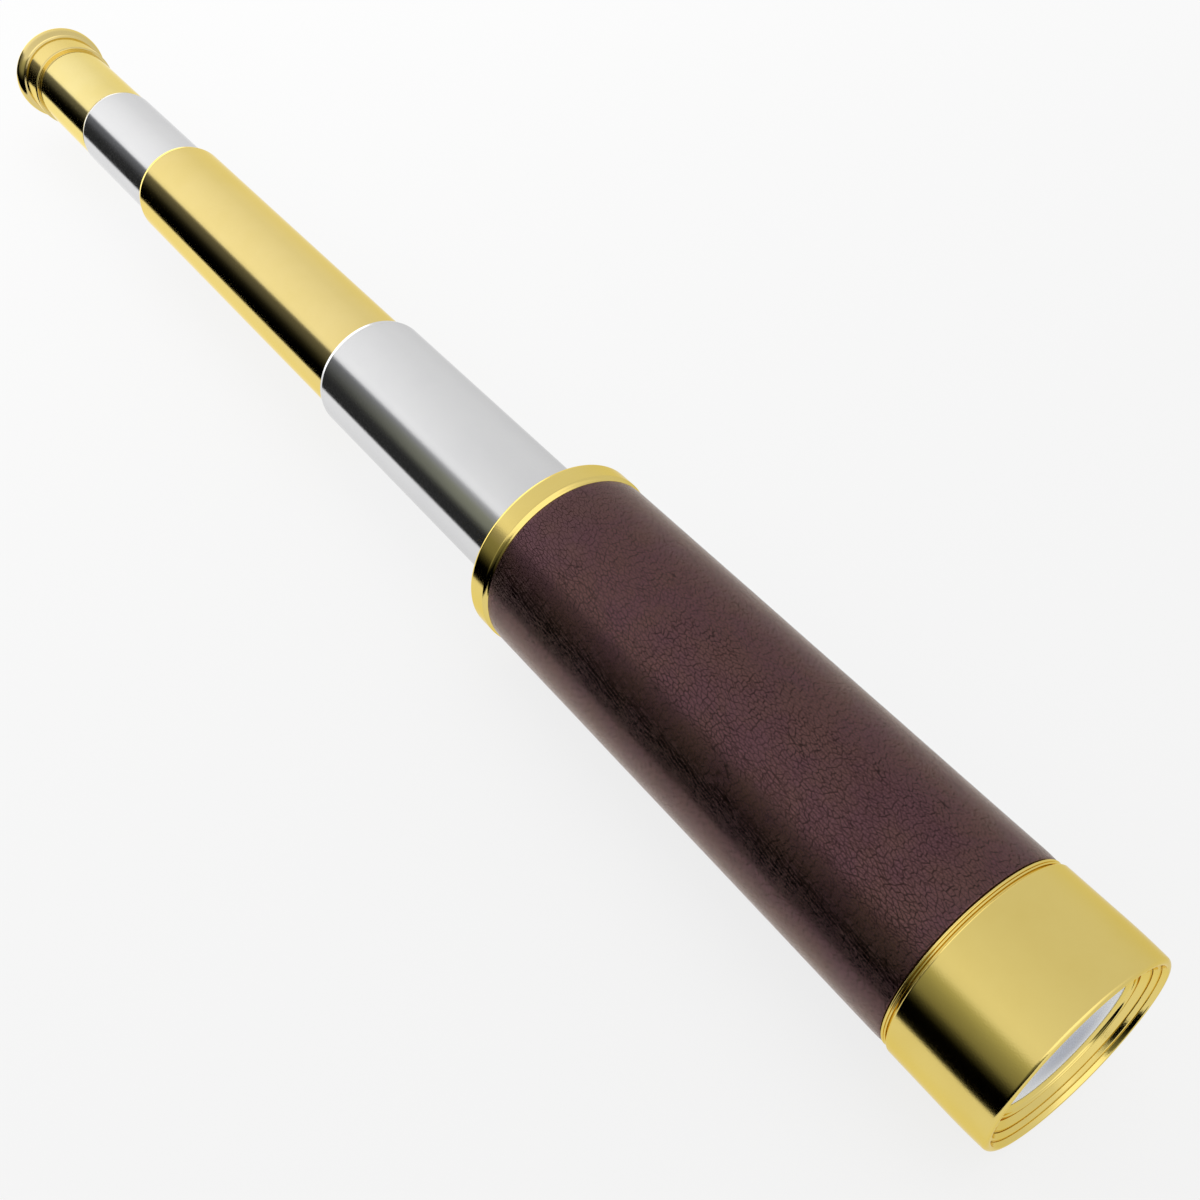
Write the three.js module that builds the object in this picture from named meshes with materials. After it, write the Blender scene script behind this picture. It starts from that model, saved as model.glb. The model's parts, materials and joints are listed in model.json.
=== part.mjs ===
// A hand-held brass telescope: a leather-covered barrel with three nested draws and an eyecup.
// It lies on its side. +X points to the object glass, +Z is up, and the origin is on the
// surface it lies on, below the middle of its length. Millimetres.
//
// Every piece is turned about the optical axis. Its outline is a list of [station, radius]
// pairs, and a station is the distance behind the front rim.
import * as THREE from 'three';

// ---------------------------------------------------------------- driving dimensions
const SIDES = 32; // flats round every turned piece, with one flat facing down
const FIT = 0.2; // gap between two pieces that are fixed together
const SLIDE = 0.1; // running gap between a draw and what guides it

const FRONT_RADIUS = 25.0; // objective hood and rear ring, which the telescope lies on
const HOOD_LENGTH = 25.4;
const LEATHER_RADIUS = 24.65;
const LEATHER_START = 27.3;
const LEATHER_END = 160.7;
const BARREL_RADIUS = 23.5;
const BARREL_BORE = 22.4;
const BARREL_START = 9.2;
const BARREL_END = 166.4;
const RING_END = 167.5;

const GLASS_RADIUS = 18.6; // object glass
const CLEAR_RADIUS = 17.0; // its visible opening

// One row per draw: tube radius, front end of the tube, mouth where the next draw comes out.
const DRAWS = [
  { radius: 17.0, start: 103.6, mouth: 255.6 },
  { radius: 15.3, start: 223.4, mouth: 376.7 },
  { radius: 13.6, start: 313.2, mouth: 425.2 },
];
const DRAW_WALL = 0.5;
const MOUTH_ROUND = 0.4; // rounded outer edge of every mouth
const LINER_LENGTH = 19.6; // felt behind each mouth
const SPIGOT_LENGTH = 6.0; // part of a mouth collar that sits inside its tube

const EYE_TUBE_RADIUS = 13.3;
const EYE_TUBE_BORE = 12.3;
const SPIGOT_RADIUS = 12.9; // inside the third draw
const EYECUP_START = 462.2;
const TIER_RADIUS = 14.4;
const FLARE_START = 473.4;
const FLANGE_RADIUS = 16.2;
const TOTAL_LENGTH = 478.6;

// ---------------------------------------------------------------- materials
function finish(color, roughness, metalness) {
  return new THREE.MeshStandardMaterial({ color, roughness, metalness });
}

const BRASS = finish(0xd9c27c, 0.22, 1.0);
const SILVER = finish(0xdcdcde, 0.2, 1.0);
const BLACKENED = finish(0x1d1b19, 0.8, 0.3);
const LEATHER = finish(0x53393d, 0.55, 0.0);
const FELT = finish(0x5a1f22, 0.95, 0.0);
const GLASS = finish(0xc9d2dc, 0.05, 0.0);

// ---------------------------------------------------------------- turning
// Revolves an outline about the optical axis. The outline either closes on itself or starts
// and ends on the axis, and may run either way round. The flats are at the stated radii.
function turned(name, material, outline) {
  const onAxis = outline[0][1] === 0;
  const loop = onAxis ? outline : [...outline, outline[0]];
  const points = loop.map(([station, radius]) => {
    return new THREE.Vector2(radius / Math.cos(Math.PI / SIDES), -station);
  });
  if (THREE.ShapeUtils.area(points) < 0) points.reverse();
  const geometry = new THREE.LatheGeometry(points, SIDES, Math.PI / SIDES);
  const mesh = new THREE.Mesh(geometry, material);
  mesh.name = name;
  return mesh;
}

// A plain tube or flat ring.
function sleeve(name, material, start, end, outer, inner) {
  return turned(name, material, [[start, inner], [start, outer], [end, outer], [end, inner]]);
}

// Points on a circular arc about [station, radius], angles in degrees from the axis.
function arc(station, radius, size, from, to, steps) {
  const points = [];
  for (let i = 0; i <= steps; i += 1) {
    const angle = THREE.MathUtils.degToRad(from + ((to - from) * i) / steps);
    points.push([station + size * Math.cos(angle), radius + size * Math.sin(angle)]);
  }
  return points;
}

// One face of a lens, from the axis out to its edge. A positive bulge puts the middle of the
// face nearer to the front than its edge.
function lensFace(edgeStation, radius, bulge, steps = 3) {
  const points = [];
  for (let i = 0; i <= steps; i += 1) {
    const share = i / steps;
    points.push([edgeStation - bulge * (1 - share * share), radius * share]);
  }
  return points;
}

function lens(name, radius, frontEdge, frontBulge, rearEdge, rearBulge) {
  const front = lensFace(frontEdge, radius, frontBulge, frontBulge === 0 ? 1 : 3);
  const rear = lensFace(rearEdge, radius, rearBulge, rearBulge === 0 ? 1 : 3);
  return turned(name, GLASS, [...front, ...rear.reverse()]);
}

// ---------------------------------------------------------------- barrel
function objectiveHood() {
  const lipBack = 1.0;
  return turned('objective_hood', BRASS, [
    [HOOD_LENGTH, BARREL_RADIUS + FIT],
    [HOOD_LENGTH, FRONT_RADIUS - 0.5],
    [HOOD_LENGTH - 0.5, FRONT_RADIUS],
    [9.0, FRONT_RADIUS],
    [1.4, FRONT_RADIUS - 0.32],
    [0.35, FRONT_RADIUS - 0.75],
    [0, FRONT_RADIUS - 1.1],
    [0, FRONT_RADIUS - 1.9],
    [0.5, FRONT_RADIUS - 2.5],
    [lipBack, FRONT_RADIUS - 2.5],
    [lipBack, BARREL_RADIUS + FIT],
  ]);
}

// The stepped front of the cell drops back to the retaining ring. Its rear spigot sits in the
// barrel tube, and a lip inside the spigot holds the glass from behind.
function objectiveCell() {
  const bore = GLASS_RADIUS + 0.3;
  return turned('objective_cell', BRASS, [
    [1.2, BARREL_RADIUS],
    [1.2, 22.3],
    [0.75, 22.1],
    [1.35, 21.0],
    [1.65, 20.9],
    [2.4, 19.2],
    [2.4, bore],
    [13.1, bore],
    [13.1, CLEAR_RADIUS + 0.2],
    [15.0, CLEAR_RADIUS + 0.2],
    [15.0, BARREL_BORE - FIT],
    [BARREL_START - FIT, BARREL_BORE - FIT],
    [BARREL_START - FIT, BARREL_RADIUS],
  ]);
}

function objectiveRetainingRing() {
  const outer = GLASS_RADIUS + 0.1;
  return turned('objective_retaining_ring', BRASS, [
    [4.1, outer],
    [2.9, outer],
    [2.7, 18.3],
    [3.3, 17.8],
    [3.3, 17.4],
    [3.9, CLEAR_RADIUS],
  ]);
}

function crownLens() {
  return lens('crown_lens', GLASS_RADIUS, 4.4, 1.6, 7.0, -1.9);
}

function lensSpacerRing() {
  return turned('lens_spacer_ring', BLACKENED, [
    [7.2, GLASS_RADIUS],
    [7.6, GLASS_RADIUS],
    [7.85, 17.4],
    [7.45, 17.4],
  ]);
}

function flintLens() {
  return lens('flint_lens', GLASS_RADIUS, 7.8, -1.9, 12.9, 0);
}

function objectiveBaffle() {
  return sleeve('objective_baffle', BLACKENED, 15.3, 16.3, BARREL_BORE - FIT, 16.6);
}

function barrelTube() {
  return sleeve('barrel_tube', BRASS, BARREL_START, BARREL_END, BARREL_RADIUS, BARREL_BORE);
}

// Slightly pared down at both ends, where it tucks against the brass.
function leatherCover() {
  const inner = BARREL_RADIUS + FIT;
  const paring = 2.5;
  return turned('leather_cover', LEATHER, [
    [LEATHER_START, inner],
    [LEATHER_START, LEATHER_RADIUS - 0.2],
    [LEATHER_START + paring, LEATHER_RADIUS],
    [LEATHER_END - paring, LEATHER_RADIUS],
    [LEATHER_END, LEATHER_RADIUS - 0.2],
    [LEATHER_END, inner],
  ]);
}

function frontBeadRing() {
  const start = HOOD_LENGTH + FIT;
  const end = LEATHER_START - FIT;
  return turned('front_bead_ring', BRASS, [
    [start, BARREL_RADIUS + FIT],
    [start, LEATHER_RADIUS - 0.35],
    [start + 0.3, LEATHER_RADIUS - 0.05],
    [end - 0.3, LEATHER_RADIUS - 0.05],
    [end, LEATHER_RADIUS - 0.35],
    [end, BARREL_RADIUS + FIT],
  ]);
}

// A half-round bead against the leather, a groove, and a flat band with a bevelled rear edge.
function rearRing() {
  const start = LEATHER_END + FIT;
  const bead = 0.9;
  const groove = start + 2 * bead;
  return turned('rear_ring', BRASS, [
    [start, BARREL_RADIUS + FIT],
    ...arc(start + bead, FRONT_RADIUS - bead, bead, 180, 20, 3),
    [groove, FRONT_RADIUS - 0.3],
    [groove + 0.2, FRONT_RADIUS],
    [RING_END - 0.3, FRONT_RADIUS],
    [RING_END, FRONT_RADIUS - 0.3],
    [RING_END, BARREL_RADIUS + FIT],
  ]);
}

// Closes the rear of the barrel round the first draw: an outer spigot in the barrel tube, and
// a longer inner sleeve that holds the felt.
const GUIDE_FRONT = 142.0;
const GUIDE_REAR = 168.0;
const GUIDE_LINER_RADIUS = DRAWS[0].radius + 1.3;

function barrelGuideCollar() {
  const face = BARREL_END + FIT;
  const spigot = BARREL_BORE - FIT;
  const hole = DRAWS[0].radius + 0.25;
  const linerEnd = GUIDE_REAR - 1.1;
  const linerBore = GUIDE_LINER_RADIUS + FIT;
  return turned('barrel_guide_collar', BRASS, [
    [GUIDE_REAR, hole],
    [GUIDE_REAR, BARREL_RADIUS - 0.3],
    [GUIDE_REAR - 0.3, BARREL_RADIUS],
    [face, BARREL_RADIUS],
    [face, spigot],
    [face - 6.6, spigot],
    [face - 6.6, spigot - 1.0],
    [face - 1.2, spigot - 1.0],
    [face - 1.2, linerBore + 0.9],
    [GUIDE_FRONT, linerBore + 0.9],
    [GUIDE_FRONT, linerBore],
    [linerEnd, linerBore],
    [linerEnd, hole],
  ]);
}

function barrelFeltLiner() {
  const start = GUIDE_FRONT + FIT;
  const end = GUIDE_REAR - 1.1 - FIT;
  return sleeve('barrel_felt_liner', FELT, start, end, GUIDE_LINER_RADIUS, DRAWS[0].radius + SLIDE);
}

function barrel() {
  return [
    objectiveHood(),
    objectiveCell(),
    objectiveRetainingRing(),
    crownLens(),
    lensSpacerRing(),
    flintLens(),
    objectiveBaffle(),
    barrelTube(),
    leatherCover(),
    frontBeadRing(),
    rearRing(),
    barrelGuideCollar(),
    barrelFeltLiner(),
  ];
}

// ---------------------------------------------------------------- draws
function drawMaterial(index) {
  return index % 2 === 0 ? SILVER : BRASS;
}

// The first two tubes stop short of the mouth, where their collar takes over. The third ends
// in a rounded edge of its own.
function drawTube(index) {
  const { radius, start, mouth } = DRAWS[index];
  const name = `draw_${index + 1}_tube`;
  const bore = radius - DRAW_WALL;
  if (index < 2) return sleeve(name, drawMaterial(index), start, mouth - 1.2, radius, bore);
  return turned(name, drawMaterial(index), [
    [start, bore],
    [start, radius],
    [mouth - 0.3, radius],
    [mouth, radius - 0.2],
    [mouth, bore],
  ]);
}

// A lip flush with its tube, rounded outside, on a spigot that guides the next draw.
function mouthCollar(index) {
  const { radius, mouth } = DRAWS[index];
  const spigot = radius - DRAW_WALL - FIT;
  const hole = DRAWS[index + 1].radius + SLIDE;
  return turned(`draw_${index + 1}_mouth_collar`, drawMaterial(index), [
    [mouth, hole],
    ...arc(mouth - MOUTH_ROUND, radius - MOUTH_ROUND, MOUTH_ROUND, 0, 90, 2),
    [mouth - 1.0, radius],
    [mouth - 1.0, spigot],
    [mouth - 1.0 - SPIGOT_LENGTH, spigot],
    [mouth - 1.0 - SPIGOT_LENGTH, hole],
  ]);
}

function feltLiner(index) {
  const { radius, mouth } = DRAWS[index];
  const end = mouth - 1.0 - SPIGOT_LENGTH - FIT;
  const outer = radius - DRAW_WALL - FIT;
  const inner = DRAWS[index + 1].radius + SLIDE;
  return sleeve(`draw_${index + 1}_felt_liner`, FELT, end - LINER_LENGTH, end, outer, inner);
}

// Fixed round the front end of a draw, it slides in the bore outside and meets the guide.
function stopRing(index, length) {
  const { radius, start } = DRAWS[index];
  const bore = index === 0 ? BARREL_BORE : DRAWS[index - 1].radius - DRAW_WALL;
  const front = start + FIT;
  const name = `draw_${index + 1}_stop_ring`;
  return sleeve(name, BLACKENED, front, front + length, bore - FIT, radius + FIT);
}

function drawTwoBaffle() {
  const front = DRAWS[1].start + FIT;
  const outer = DRAWS[1].radius - DRAW_WALL - FIT;
  return sleeve('draw_2_baffle', BLACKENED, front, front + 1.0, outer, 9.0);
}

function firstDraw() {
  return [drawTube(0), mouthCollar(0), feltLiner(0), stopRing(0, 3.8)];
}

function secondDraw() {
  return [drawTube(1), mouthCollar(1), feltLiner(1), stopRing(1, 4.6), drawTwoBaffle()];
}

// ---------------------------------------------------------------- erecting lenses
const ERECTOR_START = 315.0;
const ERECTOR_END = 385.0;
const ERECTOR_BORE = 12.1;
const ERECTOR_LENS_RADIUS = 12.2;
const ERECTOR_SEAT = 7.0; // depth of the wider bore at each end

function erectorTube() {
  const seatBore = ERECTOR_LENS_RADIUS + FIT;
  return turned('erector_tube', BRASS, [
    [ERECTOR_START, seatBore],
    [ERECTOR_START, SPIGOT_RADIUS],
    [ERECTOR_END, SPIGOT_RADIUS],
    [ERECTOR_END, seatBore],
    [ERECTOR_END - ERECTOR_SEAT, seatBore],
    [ERECTOR_END - ERECTOR_SEAT, ERECTOR_BORE],
    [ERECTOR_START + ERECTOR_SEAT, ERECTOR_BORE],
    [ERECTOR_START + ERECTOR_SEAT, seatBore],
  ]);
}

// The two lenses turn their rounded faces to each other.
function erectorLenses() {
  const frontSeat = ERECTOR_START + ERECTOR_SEAT - FIT;
  const rearSeat = ERECTOR_END - ERECTOR_SEAT + FIT;
  const edge = 3.6;
  return [
    lens('erector_front_lens', ERECTOR_LENS_RADIUS, frontSeat - edge, 0, frontSeat, -1.8),
    lens('erector_rear_lens', ERECTOR_LENS_RADIUS, rearSeat, 1.8, rearSeat + edge, 0),
  ];
}

function erectorRings() {
  const start = ERECTOR_START + 0.8;
  const end = ERECTOR_END - 0.8;
  const length = 2.2;
  return [
    sleeve('erector_front_retaining_ring', BRASS, start, start + length, ERECTOR_LENS_RADIUS, 10.8),
    sleeve('erector_rear_retaining_ring', BRASS, end - length, end, ERECTOR_LENS_RADIUS, 10.8),
  ];
}

function erectorStop() {
  const middle = (ERECTOR_START + ERECTOR_END) / 2;
  return sleeve('erector_stop', BLACKENED, middle - 0.5, middle + 0.5, ERECTOR_BORE - FIT, 3.0);
}

// ---------------------------------------------------------------- eyepiece
const EYE_TUBE_FRONT = 414.0;
const EYE_TUBE_REAR = 469.0;

function eyepieceTube() {
  const shoulder = DRAWS[2].mouth + FIT;
  const lip = 1.2;
  return turned('eyepiece_tube', BRASS, [
    [EYE_TUBE_FRONT, 11.3],
    [EYE_TUBE_FRONT, SPIGOT_RADIUS],
    [shoulder, SPIGOT_RADIUS],
    [shoulder, EYE_TUBE_RADIUS],
    [EYECUP_START - FIT, EYE_TUBE_RADIUS],
    [EYECUP_START - FIT, SPIGOT_RADIUS],
    [EYE_TUBE_REAR, SPIGOT_RADIUS],
    [EYE_TUBE_REAR, EYE_TUBE_BORE],
    [EYE_TUBE_FRONT + lip, EYE_TUBE_BORE],
    [EYE_TUBE_FRONT + lip, 11.3],
  ]);
}

function fieldLens() {
  return lens('field_lens', EYE_TUBE_BORE - FIT, 415.5, 1.6, 419.0, 0);
}

function fieldLensRetainingRing() {
  const outer = EYE_TUBE_BORE - FIT;
  return sleeve('field_lens_retaining_ring', BRASS, 419.2, 421.4, outer, 10.8);
}

function fieldStop() {
  return sleeve('field_stop', BLACKENED, 440.0, 440.8, EYE_TUBE_BORE - FIT, 7.0);
}

// A flange across the eyepiece tube with a short sleeve for the eye lens.
const EYE_LENS_RADIUS = 8.0;

function eyeLensCell() {
  const bore = EYE_LENS_RADIUS + FIT;
  return turned('eye_lens_cell', BRASS, [
    [468.6, 6.6],
    [468.6, EYE_TUBE_BORE - FIT],
    [466.6, EYE_TUBE_BORE - FIT],
    [466.6, bore + 1.0],
    [459.6, bore + 1.0],
    [459.6, bore],
    [466.6, bore],
    [466.6, 6.6],
  ]);
}

function eyeLens() {
  return lens('eye_lens', EYE_LENS_RADIUS, 463.0, 1.2, 466.4, 0);
}

function eyeLensRetainingRing() {
  return sleeve('eye_lens_retaining_ring', BRASS, 460.4, 462.5, EYE_LENS_RADIUS, 6.9);
}

// Two tiers outside. Behind is a dish for the eye, with the exit hole in the middle.
function eyecup() {
  const bore = SPIGOT_RADIUS + FIT;
  const web = EYE_TUBE_REAR + 0.4;
  const hole = 4.5;
  return turned('eyecup', BRASS, [
    [EYECUP_START, bore],
    [EYECUP_START, EYE_TUBE_RADIUS + 0.3],
    [EYECUP_START + 1.8, TIER_RADIUS],
    [FLARE_START - 0.3, TIER_RADIUS],
    ...arc(FLARE_START + 3.6, TIER_RADIUS, FLANGE_RADIUS - TIER_RADIUS, 150, 30, 3),
    [TOTAL_LENGTH, FLANGE_RADIUS - 0.8],
    [TOTAL_LENGTH, FLANGE_RADIUS - 1.8],
    [TOTAL_LENGTH - 4.2, 11.2],
    [web + 2.2, 7.0],
    [web + 2.0, hole],
    [web, hole],
    [web, bore],
  ]);
}

function thirdDraw() {
  return [
    drawTube(2),
    stopRing(2, 4.0),
    erectorTube(),
    ...erectorLenses(),
    ...erectorRings(),
    erectorStop(),
    eyepieceTube(),
    fieldLens(),
    fieldLensRetainingRing(),
    fieldStop(),
    eyeLensCell(),
    eyeLens(),
    eyeLensRetainingRing(),
    eyecup(),
  ];
}

// ---------------------------------------------------------------- assembly
// Outlines are turned about Y with the front at zero. The telescope is laid along X.
const telescope = new THREE.Group();
telescope.rotation.z = -Math.PI / 2;
telescope.position.set(TOTAL_LENGTH / 2, 0, FRONT_RADIUS);

for (const pieces of [barrel(), firstDraw(), secondDraw(), thirdDraw()]) {
  const body = new THREE.Group();
  body.add(...pieces);
  telescope.add(body);
}

const scene = new THREE.Group();
scene.add(telescope);

export default scene;
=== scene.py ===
"""Looks for the brass telescope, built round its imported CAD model.

Every piece is turned about the optical axis. Its outline is a list of (station, radius)
points in millimetres, and a station is the distance behind the front rim.
"""

import json
import math

import bpy
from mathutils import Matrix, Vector, noise

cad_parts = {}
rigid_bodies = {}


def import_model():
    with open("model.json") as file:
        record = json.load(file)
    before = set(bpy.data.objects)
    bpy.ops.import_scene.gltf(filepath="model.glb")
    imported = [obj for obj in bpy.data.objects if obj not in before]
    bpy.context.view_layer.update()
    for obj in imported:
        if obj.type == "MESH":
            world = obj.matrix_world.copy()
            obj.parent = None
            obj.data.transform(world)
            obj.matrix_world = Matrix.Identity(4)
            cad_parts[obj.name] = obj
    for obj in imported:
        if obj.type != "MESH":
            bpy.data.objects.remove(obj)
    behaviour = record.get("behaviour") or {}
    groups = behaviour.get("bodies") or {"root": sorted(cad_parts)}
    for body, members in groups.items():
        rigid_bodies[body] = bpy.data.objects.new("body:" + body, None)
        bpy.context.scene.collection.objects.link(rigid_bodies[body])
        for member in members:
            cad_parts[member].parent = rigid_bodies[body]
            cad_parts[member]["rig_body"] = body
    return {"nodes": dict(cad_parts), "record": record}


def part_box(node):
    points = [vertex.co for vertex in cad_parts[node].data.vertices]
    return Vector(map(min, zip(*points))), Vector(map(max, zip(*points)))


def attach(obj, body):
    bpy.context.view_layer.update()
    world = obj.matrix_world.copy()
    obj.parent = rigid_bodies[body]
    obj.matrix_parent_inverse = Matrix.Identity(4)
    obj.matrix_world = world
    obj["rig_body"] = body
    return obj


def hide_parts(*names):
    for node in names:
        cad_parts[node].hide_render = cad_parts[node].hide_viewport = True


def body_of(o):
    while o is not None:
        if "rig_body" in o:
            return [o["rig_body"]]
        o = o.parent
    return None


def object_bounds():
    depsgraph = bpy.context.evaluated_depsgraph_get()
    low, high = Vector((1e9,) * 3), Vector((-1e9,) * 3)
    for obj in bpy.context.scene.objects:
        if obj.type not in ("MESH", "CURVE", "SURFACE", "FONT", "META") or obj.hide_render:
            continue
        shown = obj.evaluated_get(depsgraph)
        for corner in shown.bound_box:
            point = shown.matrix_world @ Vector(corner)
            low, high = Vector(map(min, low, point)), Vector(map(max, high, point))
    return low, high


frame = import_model()
cad_low, cad_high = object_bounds()

MM = 0.001
FRONT_X = cad_high.x
AXIS_Z = (cad_low.z + cad_high.z) / 2
CAD_SIDES = 32  # flats round each CAD piece
SEGMENTS = 256  # round each piece that is seen from outside
INNER_SEGMENTS = 128
CORNER_STEPS = 4
CORNER_SHARE = 0.42  # of a stretch that a rounded corner may use up
SMOOTH_BELOW = math.radians(40)  # a sharper edge than this stays sharp
ON_AXIS = 1e-6  # a smaller radius than this is on the axis
ANGLE_SLACK = 1e-3  # how far a vertex may be from the half plane that is read, in radians
SAME_STATION = 0.002
SLOTS = {part["node"]: part["material_slot"] for part in frame["record"]["subparts"]}


# ---------------------------------------------------------------- reading the frame
def stations(node):
    """Where a CAD node starts and ends, as distances behind the front rim."""
    low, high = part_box(node)
    return (FRONT_X - high.x) / MM, (FRONT_X - low.x) / MM


def outer_radius(node):
    """The radius of a CAD node, measured to its flats."""
    low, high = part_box(node)
    return (high.y - low.y) / 2 / MM


def inner_radius(node):
    """The smallest radius in a CAD node's outline: its bore, or 0 where it is solid."""
    return min(radius for _, radius in cad_outline(node))


def half_plane_points(mesh):
    """Vertices of a CAD mesh in one half plane through the axis, as {index: (station, radius)}."""
    wanted = math.pi / 2 - math.pi / CAD_SIDES
    found = {}
    for vertex in mesh.vertices:
        across = vertex.co.y
        up = vertex.co.z - AXIS_Z
        radius = math.hypot(across, up)
        in_plane = abs(math.atan2(up, across) - wanted) < ANGLE_SLACK
        if radius < ON_AXIS or in_plane:
            flat = radius * math.cos(math.pi / CAD_SIDES) / MM
            found[vertex.index] = (round((FRONT_X - vertex.co.x) / MM, 3), round(flat, 3))
    return found


def cad_outline(node):
    """The outline that a CAD node was turned from, read back from its mesh."""
    mesh = frame["nodes"][node].data
    points = half_plane_points(mesh)
    near = {point: set() for point in points.values()}
    for edge in mesh.edges:
        a, b = edge.vertices
        if a in points and b in points and points[a] != points[b]:
            near[points[a]].add(points[b])
            near[points[b]].add(points[a])
    join_flat_faces(near)
    ends = [point for point in near if len(near[point]) == 1]
    path = [min(ends) if ends else min(near)]
    while True:
        ahead = [point for point in near[path[-1]] if point not in path]
        if not ahead:
            return path
        path.append(min(ahead))


def join_flat_faces(near):
    """A flat ring face has no edge in the half plane, so its two corners are joined here."""
    loose = sorted(point for point in near if len(near[point]) < 2 and point[1] > 0)
    while loose:
        a = loose.pop(0)
        same = [point for point in loose if abs(point[0] - a[0]) < SAME_STATION]
        if same:
            b = same[0]
            loose.remove(b)
        else:
            b = (a[0], 0.0)
            near.setdefault(b, set())
        near[a].add(b)
        near[b].add(a)


# ---------------------------------------------------------------- outlines
def arc(station, radius, along, across, start, end, steps=6):
    """Points on an ellipse about (station, radius), angles in degrees from the axis."""
    points = []
    for i in range(steps + 1):
        angle = math.radians(start + (end - start) * i / steps)
        points.append((station + along * math.cos(angle), radius + across * math.sin(angle)))
    return points


def softened(outline, size):
    """Rounds each corner of an outline. size is one width for all, or one for each corner."""
    sizes = [size] * len(outline) if isinstance(size, (int, float)) else size
    closed = outline[0][1] > 0 or outline[-1][1] > 0
    count = len(outline)
    result = []
    for i, corner in enumerate(outline):
        if sizes[i] == 0 or (not closed and i in (0, count - 1)):
            result.append(corner)
            continue
        here = Vector(corner)
        before = Vector(outline[i - 1]) - here
        after = Vector(outline[(i + 1) % count]) - here
        reach_before = min(sizes[i], before.length * CORNER_SHARE)
        reach_after = min(sizes[i], after.length * CORNER_SHARE)
        first = here + before.normalized() * reach_before
        last = here + after.normalized() * reach_after
        for step in range(CORNER_STEPS + 1):
            share = step / CORNER_STEPS
            inward = first.lerp(here, share)
            outward = here.lerp(last, share)
            result.append(tuple(inward.lerp(outward, share)))
    return result


def supported(outline, margin=0.06):
    """Adds a point close to both ends of each long stretch, so that flats shade flat."""
    closed = outline[0][1] > 0 or outline[-1][1] > 0
    count = len(outline)
    result = []
    for i, point in enumerate(outline):
        result.append(point)
        if i == count - 1 and not closed:
            break
        a = Vector(point)
        b = Vector(outline[(i + 1) % count])
        length = (b - a).length
        if length > margin * 5:
            result.append(tuple(a.lerp(b, margin / length)))
            result.append(tuple(b.lerp(a, margin / length)))
    return result


# ---------------------------------------------------------------- turning
def place(station, radius, angle):
    """A point in the frame, in metres. Angle 0 is straight down and grows towards +Y."""
    across = radius * math.sin(angle) * MM
    up = -radius * math.cos(angle) * MM
    return (FRONT_X - station * MM, across, AXIS_Z + up)


def turned_mesh(name, outline, segments):
    """A closed mesh that turns an outline about the optical axis."""
    closed = outline[0][1] > 0 or outline[-1][1] > 0
    vertices = []
    rings = []
    for station, radius in outline:
        count = 1 if radius <= ON_AXIS else segments
        rings.append((len(vertices), count))
        for k in range(count):
            vertices.append(place(station, radius, 2 * math.pi * k / segments))
    following_rings = rings[1:] + rings[:1] if closed else rings[1:]
    faces = []
    for (a, a_count), (b, b_count) in zip(rings, following_rings):
        for k in range(segments):
            following = (k + 1) % segments
            if a_count == 1:
                faces.append((a, b + following, b + k))
            elif b_count == 1:
                faces.append((a + k, a + following, b))
            else:
                faces.append((a + k, a + following, b + following, b + k))
    mesh = bpy.data.meshes.new(name)
    mesh.from_pydata(vertices, [], faces)
    return mesh


def signed_area(outline):
    """The area inside an outline. Its sign tells which way round the outline runs."""
    ahead = outline[1:] + outline[:1]
    return sum(a[0] * b[1] - b[0] * a[1] for a, b in zip(outline, ahead)) / 2


def finish_piece(mesh, nodes, material):
    """Puts a mesh in the scene in place of its CAD nodes, on the body that they ride on."""
    mesh.polygons.foreach_set("use_smooth", [True] * len(mesh.polygons))
    mesh.set_sharp_from_angle(angle=SMOOTH_BELOW)
    mesh.materials.append(material)
    piece = bpy.data.objects.new(mesh.name, mesh)
    bpy.context.scene.collection.objects.link(piece)
    body = body_of(frame["nodes"][nodes[0]])[0]
    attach(piece, body)
    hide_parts(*nodes)
    return piece


def turn(node, outline, segments=SEGMENTS):
    """Makes the piece that stands for one CAD node, in the node's own material."""
    if signed_area(outline) < 0:
        outline = outline[::-1]
    mesh = turned_mesh("turned_" + node, supported(outline), segments)
    material = PALER.get(node, MATERIALS[SLOTS[node]])
    return finish_piece(mesh, [node], material)


# ---------------------------------------------------------------- node helpers
def new_material(name):
    """A material, its node tree and its shader."""
    material = bpy.data.materials.new(name)
    material.use_nodes = True
    tree = material.node_tree
    return material, tree, tree.nodes["Principled BSDF"]


def add(tree, kind, settings=None, **inputs):
    """Adds a node. settings are its properties, and inputs are values or sockets to link."""
    node = tree.nodes.new(kind)
    for key, value in (settings or {}).items():
        setattr(node, key, value)
    for key, value in inputs.items():
        socket = node.inputs[int(key[1:])] if key[1:].isdigit() else node.inputs[key.replace("_", " ")]
        if isinstance(value, bpy.types.NodeSocket):
            tree.links.new(value, socket)
        else:
            socket.default_value = value
    return node


def object_coordinates(tree, stretch=(1, 1, 1)):
    """Places on the object in metres, multiplied by stretch."""
    source = add(tree, "ShaderNodeTexCoord")
    scaled = add(tree, "ShaderNodeVectorMath", {"operation": "MULTIPLY"}, _1=stretch)
    tree.links.new(source.outputs["Object"], scaled.inputs[0])
    return scaled.outputs[0]


def fractal(tree, vector, scale, detail=2.0, roughness=0.5, distortion=0.0):
    """Noise from 0 to 1. scale is in waves for each unit of the vector."""
    made = add(
        tree, "ShaderNodeTexNoise", Vector=vector, Scale=scale, Detail=detail,
        Roughness=roughness, Distortion=distortion,
    )
    return made.outputs["Fac"]


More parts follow.
